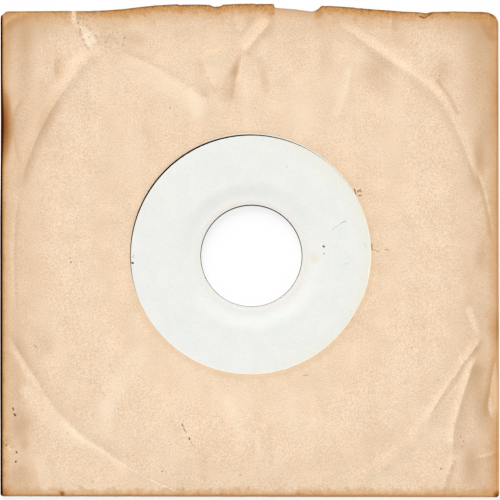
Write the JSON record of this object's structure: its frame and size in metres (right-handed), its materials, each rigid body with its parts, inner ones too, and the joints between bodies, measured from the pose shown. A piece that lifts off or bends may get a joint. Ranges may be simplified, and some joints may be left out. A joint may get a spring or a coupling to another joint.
{
  "type": "vinyl record",
  "caption": "Vinyl single with a large centre hole and blank paper labels, in a worn die-cut kraft paper sleeve that it slides out of through the open mouth.",
  "frame": {"origin": "middle of the record's centre hole, halfway through the disc's thickness", "axes": "+X to the right across the sleeve, +Y in the plane of the disc towards the sleeve's open mouth, +Z out of side A along the hole's axis"},
  "size_m": [0.1856, 0.1843, 0.0028],
  "materials": {
    "vinyl": "gloss",
    "label_paper": "matte",
    "kraft_paper": "matte",
    "dried_glue": "satin"
  },
  "bodies": {
    "sleeve": {"sleeve_front_panel": "kraft_paper", "sleeve_back_panel": "kraft_paper", "sleeve_left_flap": "kraft_paper", "sleeve_right_flap": "kraft_paper", "sleeve_bottom_fold": "kraft_paper", "left_glue_seam": "dried_glue", "right_glue_seam": "dried_glue"},
    "record": {"record_disc": "vinyl", "label_side_a": "label_paper", "label_side_b": "label_paper"}
  },
  "joints": [
    {"name": "record_slide", "type": "slide", "parent": "sleeve", "child": "record", "axis": [0, 1, 0], "range_m": [-0.0021, 0.186]}
  ]
}
